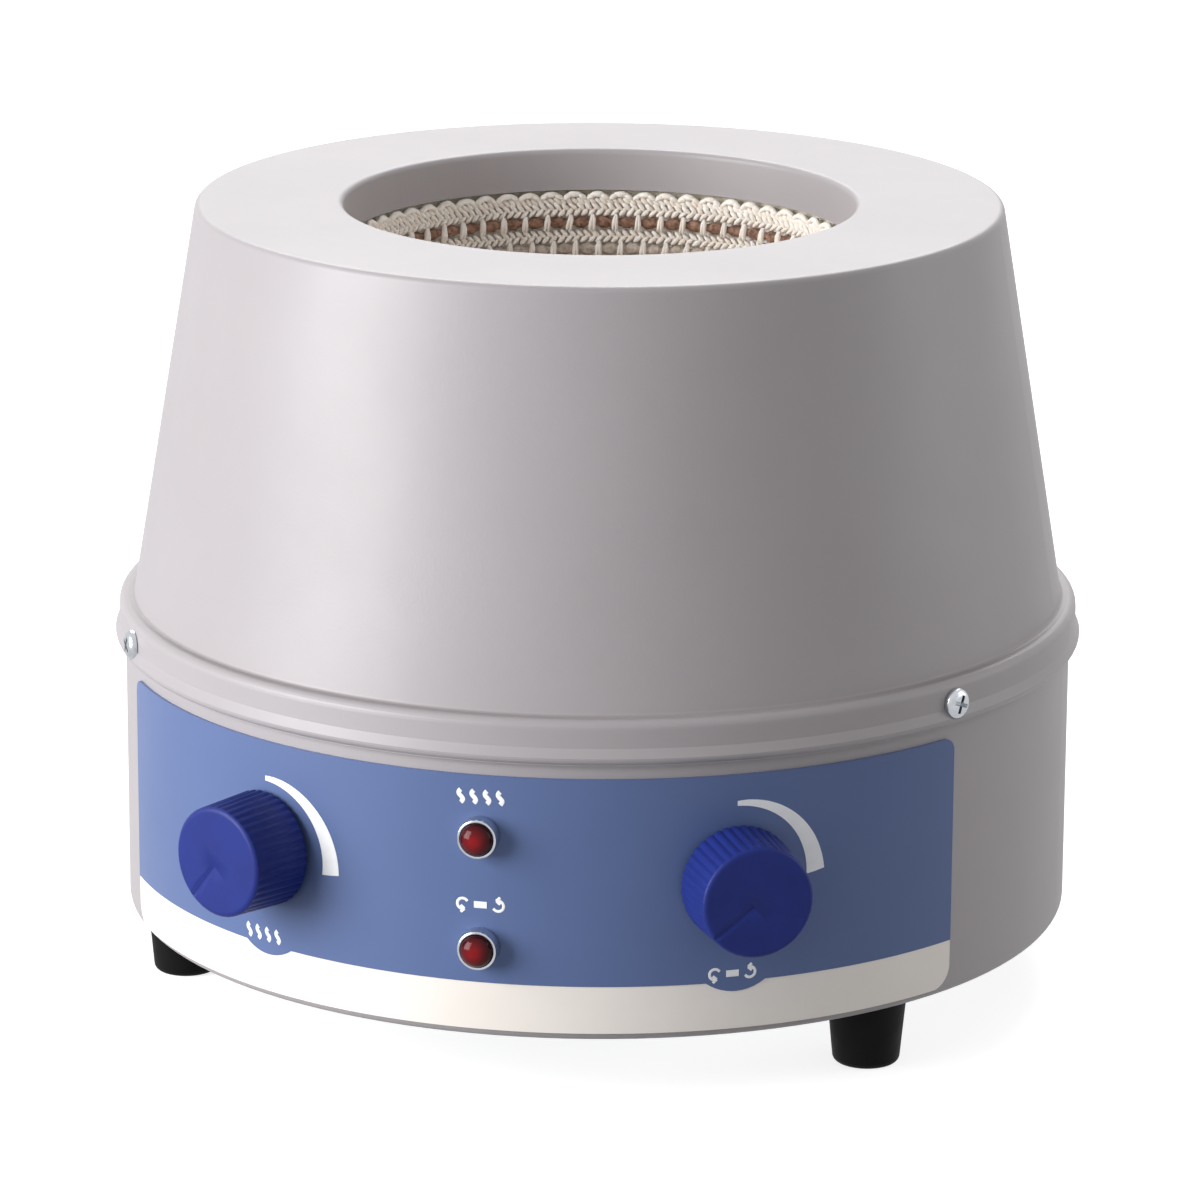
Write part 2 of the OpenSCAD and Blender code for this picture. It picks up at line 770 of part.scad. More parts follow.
// Knitted glass lining: a ridge for each row, room between them for each turn of the element and,
// in the rows nearest the mouth, stitches that cross the element with a gap between each pair
module knit_lining() color([0.93, 0.92, 0.88])
    difference() {
        rotate_extrude()
            intersection() {
                difference() {
                    union() {
                        difference() {
                            translate([0, bowl_z]) circle(lining_r);
                            translate([0, bowl_z]) circle(row_r + element_r + element_gap);
                        }
                        for (i = [0:rows - 1])
                            if (!has_element(i) || is_crossed(i))
                                row_section(i, ridge_r * cos(22.5));
                    }
                    for (i = [0:rows - 1])
                        if (is_crossed(i))
                            row_section(i, element_r + element_gap, 6);
                }
                below_knit_top();
            }
        for (i = [0:rows - 1])
            if (is_crossed(i))
                for (s = [0:stitches - 1])
                    rotate(s * 360 / stitches)
                        translate([0, 0, bowl_z])
                            rotate([0, -row_angle(i), 0])
                                translate([bowl_r - 1, -stitch_gap / 2, -stitch_gap_h / 2])
                                    cube([ridge_r + 1, stitch_gap, stitch_gap_h]);
    }
stitch_gap = 2 * PI * bowl_r / stitches * 0.5;
stitch_gap_h = knit_row * 0.34;

// Turns of the glass-covered heating wire, one in each groove of the lining
module heater_element() color([0.5, 0.33, 0.2])
    for (i = element_rows)
        rotate_extrude()
            row_section(i, element_r * cos(22.5));

// Inner face of the can, from its flange to its floor
can_path = [
    [can_r + can_flange, under_top], [can_in_r, under_top],
    [can_in_r, can_floor_z + can_wall], [0, can_floor_z + can_wall]
];
can_bends = [2, can_bend - can_wall];

module insulation_bowl() color([0.93, 0.92, 0.86])
    rotate_extrude()
        difference() {
            polygon(concat(
                [[0, under_top - seat_gap]],
                [[can_in_r - bowl_gap, under_top - seat_gap]],
                bend([can_in_r - bowl_gap, under_top], [can_in_r - bowl_gap, insulation_z],
                     [0, insulation_z], can_bend - can_wall - bowl_gap, 0),
                [[0, insulation_z]]
            ));
            translate([0, bowl_z]) circle(cavity_r);
            translate([0, bowl_z]) square([cavity_r, overall_h]);
        }
insulation_z = can_floor_z + can_wall + bowl_gap;

module heater_can() color([0.8, 0.81, 0.82])
    difference() {
        rotate_extrude()
            sheet_section(can_path, can_bends, can_wall);
        at_studs(under_top - can_wall - 1)
            cylinder(r = thread_r + hole_gap, h = can_wall + 2);
    }

module can_nuts() color([0.7, 0.71, 0.73])
    at_studs(under_top - can_wall - nut_h)
        nut(nut_flats, nut_h, thread_r + running_gap);

// ---- Stirrer drive ----

module heat_shield() color([0.82, 0.83, 0.84])
    translate([0, 0, bracket_top])
        difference() {
            union() {
                cylinder(r = shield_r, h = shield_t);
                difference() {
                    cylinder(r = shield_r, h = shield_lip);
                    translate([0, 0, -1]) cylinder(r = shield_r - shield_t, h = shield_lip + 2);
                }
            }
            translate([0, 0, -1]) cylinder(r = motor_boss_r + 2, h = shield_t + 2);
            at_motor_screws(-1) cylinder(r = small_screw_r + hole_gap, h = shield_t + 2);
        }

module motor_bracket() color([0.76, 0.77, 0.79])
    difference() {
        rotate([90, 0, 0])
            translate([0, 0, -bracket_depth / 2])
                linear_extrude(bracket_depth)
                    sheet_section(
                        [[-bracket_half - bracket_foot, plate_top], [-bracket_half, plate_top],
                         [-bracket_half, bracket_z], [bracket_half, bracket_z],
                         [bracket_half, plate_top], [bracket_half + bracket_foot, plate_top]],
                        [2 + bracket_t, 2, 2, 2 + bracket_t], bracket_t
                    );
        translate([0, 0, bracket_z - 1]) cylinder(r = motor_boss_r + hole_gap, h = bracket_t + 2);
        at_motor_screws(bracket_z - 1) cylinder(r = small_screw_r + hole_gap, h = bracket_t + 2);
        at_bracket_screws(plate_top - 1) cylinder(r = thread_r + running_gap, h = bracket_t + 2);
    }

module bracket_screws() color([0.7, 0.71, 0.73])
    at_bracket_screws(base_z + base_wall)
        rotate([180, 0, 0])
            pan_screw(thread_r, plate_t + bracket_t + 2, head_r, head_h);

module stirrer_motor() color([0.35, 0.36, 0.38])
    difference() {
        union() {
            translate([0, 0, bracket_z - motor_h])
                rotate_extrude()
                    polygon([
                        [0, 0], [motor_r - 2, 0], [motor_r, 2], [motor_r, motor_h * 0.3],
                        [motor_r - 1, motor_h * 0.3], [motor_r - 1, motor_h * 0.7],
                        [motor_r, motor_h * 0.7], [motor_r, motor_h - 2], [motor_r - 2, motor_h],
                        [0, motor_h]
                    ]);
            translate([0, 0, bracket_z - 1]) cylinder(r = motor_boss_r, h = bracket_t + 2);
        }
        translate([0, 0, bracket_z - motor_h * 0.6])
            cylinder(r = motor_shaft_r + running_gap, h = motor_h);
        at_motor_screws(bracket_z - motor_hole_h)
            cylinder(r = small_screw_r + running_gap, h = motor_hole_h + 1);
    }

module motor_screws() color([0.7, 0.71, 0.73])
    at_motor_screws(bracket_top + shield_t)
        pan_screw(small_screw_r, shield_t + bracket_t + motor_hole_h - 2, small_head_r, small_head_h);

module motor_shaft() color([0.78, 0.79, 0.8])
    translate([0, 0, bracket_z - motor_h * 0.6 + 0.3])
        cylinder(r = motor_shaft_r, h = carrier_top - 1 - bracket_z + motor_h * 0.6 - 0.3);

module at_magnets(z)
    for (x = [-magnet_x, magnet_x])
        translate([x, 0, z])
            children();

// Bar with round ends and a hub, with a pocket for each magnet
module magnet_carrier() color([0.85, 0.84, 0.8])
    difference() {
        union() {
            translate([0, 0, carrier_z])
                linear_extrude(carrier_t)
                    slot_outline(carrier_len, carrier_w);
            translate([0, 0, carrier_z - carrier_hub_h])
                cylinder(r = carrier_hub_r, h = carrier_hub_h + 0.5);
        }
        translate([0, 0, carrier_z - carrier_hub_h - 1])
            cylinder(r = motor_shaft_r + running_gap / 2, h = carrier_t + carrier_hub_h + 0.5);
        at_magnets(carrier_top - magnet_sink)
            cylinder(r = magnet_r + running_gap, h = magnet_sink + 1);
    }

module rotor_magnets() color([0.25, 0.25, 0.27])
    at_magnets(carrier_top - magnet_sink)
        cylinder(r = magnet_r, h = magnet_h);

// ---- Electrics ----

module control_board() color([0.16, 0.4, 0.24])
    difference() {
        translate([-board_w / 2, -board_y - board_d / 2, board_z])
            cube([board_w, board_d, board_t]);
        at_board_corners(board_z - 1) cylinder(r = 1.6, h = board_t + 2);
    }

// Standoffs with a stud that passes through the board
module board_standoffs() color([0.8, 0.75, 0.55])
    at_board_corners(plate_top) {
        linear_extrude(standoff_h) hexagon(6);
        cylinder(r = 1.5, h = standoff_h + board_t + 3);
        translate([0, 0, standoff_h + board_t])
            nut(5.5, 2.2, 1.5);
    }

module heatsink() color([0.72, 0.73, 0.75])
    translate([-board_w * 0.27, -board_y + board_d * 0.2, board_top]) {
        translate([-sink_w / 2, -sink_t / 2, 0]) cube([sink_w, sink_t, sink_h]);
        for (x = [-sink_w / 2:fin_pitch:sink_w / 2 - fin_t])
            translate([x, -fin_w / 2, sink_t]) cube([fin_t, fin_w, sink_h - sink_t]);
    }

module transformer() color([0.28, 0.3, 0.33])
    translate([board_w * 0.2, -board_y + board_d * 0.12, board_top]) {
        translate([-core_w / 2, -core_d / 2, 0]) cube([core_w, core_d, core_h]);
        translate([-coil_w / 2, -coil_d / 2, (core_h - coil_h) / 2]) cube([coil_w, coil_d, coil_h]);
    }

module capacitors() color([0.2, 0.24, 0.42])
    for (c = caps)
        translate([c[0] * board_w, -board_y - board_d * 0.28, board_top])
            cylinder(r = c[1], h = c[2]);

// Ceramic block where the heater's leads end
module terminal_block() color([0.92, 0.91, 0.87])
    translate([-terminal_x, terminal_y, plate_top])
        difference() {
            translate([-terminal_w / 2, -terminal_d / 2, 0]) cube([terminal_w, terminal_d, terminal_h]);
            for (i = [-1:1])
                translate([i * terminal_pitch, 0, terminal_h * 0.4])
                    cylinder(r = terminal_hole_r, h = terminal_h);
        }

// Appliance inlet stood upright: a socket with two cut corners, a pin slot for each blade
module socket_outline()
    polygon([
        [-socket_in_w / 2, -socket_in_h / 2], [socket_in_w / 2 - socket_cut, -socket_in_h / 2],
        [socket_in_w / 2, socket_cut - socket_in_h / 2], [socket_in_w / 2, socket_in_h / 2 - socket_cut],
        [socket_in_w / 2 - socket_cut, socket_in_h / 2], [-socket_in_w / 2, socket_in_h / 2]
    ]);

// Places children at each pin, r from the axis; the middle pin is set to one side
module at_pins(r)
    for (i = [-1:1])
        radial(180, r, inlet_z)
            translate([i == 0 ? pin_w / 2 : -pin_w / 2, i * pin_pitch, 0])
                children();

module mains_inlet() color([0.1, 0.1, 0.11])
    difference() {
        union() {
            difference() {
                radial(180, base_r - 2, inlet_z)
                    linear_extrude(inlet_t + 2) round_rect(inlet_w, inlet_h, 4);
                translate([0, 0, base_z]) cylinder(r = base_r + glue_gap, h = base_h);
            }
            radial(180, base_r + 0.5 - socket_depth, inlet_z)
                translate([-socket_w / 2, -socket_h / 2, 0])
                    cube([socket_w, socket_h, socket_depth]);
        }
        radial(180, base_r + inlet_t - pin_room, inlet_z) linear_extrude(pin_room + 1) socket_outline();
        for (s = [-1, 1])
            radial(180, base_r - 1, inlet_z + s * inlet_screw_y)
                cylinder(r = small_screw_r + hole_gap, h = inlet_t + 2);
        at_pins(base_r - socket_depth - 1)
            translate([-pin_w / 2, -pin_t / 2, 0]) cube([pin_w, pin_t, socket_depth]);
    }

module inlet_pins() color([0.82, 0.8, 0.68])
    at_pins(base_r - socket_depth - 6)
        translate([-pin_w / 2 + 0.02, -pin_t / 2 + 0.02, 0])
            cube([pin_w - 0.04, pin_t - 0.04, socket_depth + 4]);

module inlet_screws() color([0.78, 0.79, 0.8])
    for (s = [-1, 1])
        radial(180, base_r + inlet_t, inlet_z + s * inlet_screw_y)
            pan_screw(small_screw_r, inlet_t + base_wall + 4, small_head_r, small_head_h);

module fuse_holder() color([0.1, 0.1, 0.11])
    radial(fuse_bearing, base_r, fuse_z)
        difference() {
            union() {
                translate([0, 0, -fuse_len]) cylinder(r = fuse_r, h = fuse_len + 0.5);
                translate([0, 0, glue_gap]) cylinder(r = fuse_r + fuse_rim, h = fuse_rim_h);
                translate([0, 0, -base_wall - fuse_nut_h - 1]) nut(fuse_nut_flats, fuse_nut_h, fuse_r - 1);
            }
            translate([0, 0, -fuse_bore]) cylinder(r = fuse_r - fuse_wall, h = fuse_bore + 4);
        }

// Bayonet cap with a screwdriver slot
module fuse_cap() color([0.1, 0.1, 0.11])
    radial(fuse_bearing, base_r, fuse_z)
        difference() {
            union() {
                translate([0, 0, -10]) cylinder(r = fuse_r - fuse_wall - running_gap, h = 13);
                translate([0, 0, fuse_rim_h + 2 * glue_gap])
                    cylinder(r1 = fuse_r + 0.6, r2 = fuse_r, h = fuse_cap_h);
            }
            translate([-fuse_r - 1, -fuse_slot / 2, fuse_cap_h + 1])
                cube([2 * fuse_r + 2, fuse_slot, 3]);
        }

upper_shell();
base_shell();
bottom_plate();
rubber_feet();
foot_screws();
foot_nuts();
shell_screws();
panel_film();
panel_print();
panel_marks();
heat_knob();
stir_knob();
heat_shaft();
stir_shaft();
heat_control();
stir_control();
control_nuts();
heat_lamp();
stir_lamp();
lamp_bodies();
knit_lining();
heater_element();
insulation_bowl();
heater_can();
can_nuts();
heat_shield();
motor_bracket();
bracket_screws();
stirrer_motor();
motor_screws();
motor_shaft();
magnet_carrier();
rotor_magnets();
control_board();
board_standoffs();
heatsink();
transformer();
capacitors();
terminal_block();
mains_inlet();
inlet_pins();
inlet_screws();
fuse_holder();
fuse_cap();
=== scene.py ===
import json
import math

import bpy
from mathutils import Matrix, Vector

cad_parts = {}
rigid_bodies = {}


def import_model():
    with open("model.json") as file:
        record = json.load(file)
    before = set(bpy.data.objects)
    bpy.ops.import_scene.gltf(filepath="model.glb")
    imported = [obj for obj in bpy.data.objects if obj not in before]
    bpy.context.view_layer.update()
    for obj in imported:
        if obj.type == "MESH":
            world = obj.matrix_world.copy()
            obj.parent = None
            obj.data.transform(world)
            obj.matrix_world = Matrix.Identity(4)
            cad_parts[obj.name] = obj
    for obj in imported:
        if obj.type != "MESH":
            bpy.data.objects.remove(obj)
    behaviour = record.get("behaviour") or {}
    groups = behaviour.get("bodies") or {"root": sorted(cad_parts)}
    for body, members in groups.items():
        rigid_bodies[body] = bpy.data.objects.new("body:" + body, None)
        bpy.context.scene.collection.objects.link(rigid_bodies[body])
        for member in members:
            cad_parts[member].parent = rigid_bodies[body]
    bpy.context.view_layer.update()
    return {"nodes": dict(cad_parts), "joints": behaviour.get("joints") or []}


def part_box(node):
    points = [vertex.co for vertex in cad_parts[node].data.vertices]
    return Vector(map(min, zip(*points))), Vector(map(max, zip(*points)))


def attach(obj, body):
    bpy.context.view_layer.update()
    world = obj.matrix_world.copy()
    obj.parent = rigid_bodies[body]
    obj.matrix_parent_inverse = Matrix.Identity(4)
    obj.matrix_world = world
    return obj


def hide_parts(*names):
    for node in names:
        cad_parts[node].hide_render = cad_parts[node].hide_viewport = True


bpy.ops.object.select_all(action="SELECT")
bpy.ops.object.delete()
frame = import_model()
bpy.context.scene.view_settings.view_transform = "Standard"
mm = 0.001


camera = {
    "lens": 181.27,  # millimetres, on a sensor 36 mm wide
    "distance": 1.60142,  # from the mouth's axis, along the bench
    "height": 0.54758,
    "bearing": 13.2,  # how far it stands to the right of the panel's middle, degrees
    "tilt": 15.571,  # down from level
    "turn": -0.0222,  # away from the mouth's axis
    "roll": 0.306,
}
lights = {
    # name: (bearing, distance, height, width and height of the panel, watts)
    "window": (-52, 1.5, 0.45, 0.95, 1.2, 38.0),
    "back": (190, 1.3, 1.3, 1.4, 1.0, 27.0),
    "fill": (105, 1.5, 0.5, 0.8, 1.2, 5.0),
}
lightsAim = 0.12  # height of the place that every light looks at
# brightness by what looks: the camera, a mirror or glass, and the light between things
background = {"seen": 1.0, "mirrored": 0.95, "lighting": 0.39}
floorGlow = {"seen": 0.80, "mirrored": 0.85, "lighting": 0.0}
floorMatt = {"seen": 0.50, "mirrored": 0.0, "lighting": 0.35}


def onBearing(bearing, distance, height):
    turn = math.radians(bearing)
    return Vector((distance * math.sin(turn), -distance * math.cos(turn), height))


def setCamera():
    bpy.ops.object.camera_add()
    shot = bpy.context.object
    shot.name = "camera"
    shot.data.lens = camera["lens"]
    shot.data.sensor_width = 36
    shot.data.clip_end = 50
    aim = (
        Matrix.Rotation(math.radians(camera["turn"] + camera["bearing"]), 4, "Z")
        @ Matrix.Rotation(math.radians(90 - camera["tilt"]), 4, "X")
        @ Matrix.Rotation(math.radians(camera["roll"]), 4, "Z")
    )
    shot.matrix_world = (
        Matrix.Translation(onBearing(camera["bearing"], camera["distance"], camera["height"])) @ aim
    )
    bpy.context.scene.camera = shot


def setLights():
    for name, (bearing, distance, height, width, depth, watts) in lights.items():
        spot = onBearing(bearing, distance, height)
        bpy.ops.object.light_add(type="AREA", location=spot)
        lamp = bpy.context.object
        lamp.name = name
        lamp.data.shape = "RECTANGLE"
        lamp.data.size = width
        lamp.data.size_y = depth
        lamp.data.energy = watts
        aim = Vector((0, 0, lightsAim)) - spot
        lamp.rotation_euler = aim.to_track_quat("-Z", "Y").to_euler()


def addNode(tree, kind, sockets=None, **settings):
    node = tree.nodes.new("ShaderNode" + kind)
    for name, value in settings.items():
        setattr(node, name, value)
    for name, value in (sockets or {}).items():
        if isinstance(value, bpy.types.NodeSocket):
            tree.links.new(value, node.inputs[name])
        else:
            node.inputs[name].default_value = value
    return node


def fromHex(code):
    # sRGB hex to the linear colour that the shaders use
    parts = [int(code[i : i + 2], 16) / 255 for i in (1, 3, 5)]
    return tuple(c / 12.92 if c <= 0.04045 else ((c + 0.055) / 1.055) ** 2.4 for c in parts) + (1,)


def mixedBy(tree, factor, low, high):
    mix = addNode(tree, "Mix", {"Factor": factor, "A": low, "B": high}, data_type="FLOAT")
    return mix.outputs["Result"]


def byRay(tree, levels):
    path = addNode(tree, "LightPath")
    mirrored = addNode(
        tree,
        "Math",
        {0: path.outputs["Is Glossy Ray"], 1: path.outputs["Is Transmission Ray"]},
        operation="MAXIMUM",
    )
    unseen = mixedBy(tree, mirrored.outputs[0], levels["lighting"], levels["mirrored"])
    return mixedBy(tree, path.outputs["Is Camera Ray"], unseen, levels["seen"])


def setBackground():
    world = bpy.data.worlds.new("studio")
    bpy.context.scene.world = world
    world.use_nodes = True
    tree = world.node_tree
    glow = tree.nodes["Background"]
    glow.inputs["Color"].default_value = (1, 1, 1, 1)
    tree.links.new(byRay(tree, background), glow.inputs["Strength"])


def setFloor():
    bpy.ops.mesh.primitive_plane_add(size=16, location=(0, 0, 0))
    floor = bpy.context.object
    floor.name = "floor"
    material = bpy.data.materials.new("white paper sweep")
    material.use_nodes = True
    tree = material.node_tree
    tree.nodes.remove(tree.nodes["Principled BSDF"])
    matt = addNode(tree, "BsdfDiffuse")
    grey = byRay(tree, floorMatt)
    shade = addNode(tree, "CombineColor", {name: grey for name in ("Red", "Green", "Blue")})
    tree.links.new(shade.outputs[0], matt.inputs["Color"])
    glow = addNode(tree, "Emission", {"Strength": byRay(tree, floorGlow)})
    both = addNode(tree, "AddShader", {0: matt.outputs[0], 1: glow.outputs[0]})
    tree.links.new(both.outputs[0], tree.nodes["Material Output"].inputs["Surface"])
    floor.data.materials.append(material)


setCamera()
setLights()
setBackground()
setFloor()
print("camera, lights and floor are set")


def perMetre(size):
    # cells of a pattern to the metre, from the size of one in millimetres
    return 1000 / size


def heightFrom(tree, place, level):
    # how far a point lies above a height in millimetres
    height = addNode(tree, "SeparateXYZ", {"Vector": place}).outputs["Z"]
    return addNode(tree, "Math", {0: height, 1: level * mm}, operation="SUBTRACT").outputs[0]


def above(tree, place, level, blend):
    # 0 below a height and 1 above it, both in millimetres
    offset = heightFrom(tree, place, level)
    return addNode(
        tree, "MapRange", {"Value": offset, 1: -blend * mm / 2, 2: blend * mm / 2}
    ).outputs[0]


def near(tree, place, level, reach):
    # how near a point lies to a height: none at its reach and 0.8 on it
    offset = heightFrom(tree, place, level)
    distance = addNode(tree, "Math", {0: offset}, operation="ABSOLUTE").outputs[0]
    return addNode(
        tree, "MapRange", {"Value": distance, 1: 0, 2: reach * mm, 3: 0.8, 4: 0}
    ).outputs[0]


def blended(tree, share, low, high):
    # a colour between two, each given as a hex code or by another node
    ends = [end if isinstance(end, bpy.types.NodeSocket) else fromHex(end) for end in (low, high)]
    mix = addNode(tree, "Mix", {0: share, 6: ends[0], 7: ends[1]}, data_type="RGBA")
    return mix.outputs[2]


def fromAxes(tree, place, heights):
    # how far a point lies from the nearest of the lamps' axes
    flat = addNode(tree, "VectorMath", {0: place, 1: (1, 0, 1)}, operation="MULTIPLY").outputs[0]
    reaches = [
        addNode(tree, "VectorMath", {0: flat, 1: (0, 0, height * mm)}, operation="DISTANCE")
        for height in heights
    ]
    ends = {index: reach.outputs["Value"] for index, reach in enumerate(reaches)}
    return addNode(tree, "Math", ends, operation="MINIMUM").outputs[0]


def surface(name, look):
    # a plain surface with slightly uneven colour and gloss over a fine grain
    material = bpy.data.materials.new(name)
    material.use_nodes = True
    tree = material.node_tree
    shader = tree.nodes["Principled BSDF"]
    place = addNode(tree, "TexCoord").outputs["Object"]
    patches = addNode(
        tree,
        "TexNoise",
        {"Vector": place, "Scale": perMetre(look["patch"]), "Detail": 4.0, "Roughness": 0.6},
    )
    spread = addNode(tree, "MapRange", {"Value": patches.outputs["Fac"], 1: 0.3, 2: 0.7}).outputs[0]
    gloss = mixedBy(tree, spread, *look["gloss"])
    grain = addNode(
        tree,
        "TexNoise",
        {"Vector": place, "Scale": perMetre(look["grain"]), "Detail": 2.0},
    )
    bump = addNode(
        tree,
        "Bump",
        {"Height": grain.outputs["Fac"], "Distance": look["depth"] * mm, "Strength": 1.0},
    )
    colour = blended(tree, spread, look["colour"], look["shade"])
    if "upper" in look:
        level, blend, *pair = look["upper"]
        upper = blended(tree, spread, *pair)
        colour = blended(tree, above(tree, place, level, blend), colour, upper)
    # painted shade: each line darkens the colour near a height, where a crease lies in shadow
    for level, reach, creaseShade in look.get("lines", ()):
        colour = blended(tree, near(tree, place, level, reach), colour, creaseShade)
    # painted light: the colour darkens away from the lamps' axes, standing in for a clear lens lit in
    # the middle and shaded at its rim
    if "rim" in look:
        heights, (start, end), dark = look["rim"]
        distance = fromAxes(tree, place, heights)
        share = addNode(tree, "MapRange", {"Value": distance, 1: start * mm, 2: end * mm})
        colour = blended(tree, share.outputs[0], colour, dark)
    tree.links.new(colour, shader.inputs["Base Color"])
    tree.links.new(gloss, shader.inputs["Roughness"])
    tree.links.new(bump.outputs[0], shader.inputs["Normal"])
    for socket, value in look.get("shader", {}).items():
        shader.inputs[socket].default_value = value
    return material


# heights of the lamps' axes, from the solids that the lenses stand for
lampHeights = {
    which: sum(corner[2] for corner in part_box(which + "_lamp")) / 2 / mm
    for which in ("heat", "stir")
}

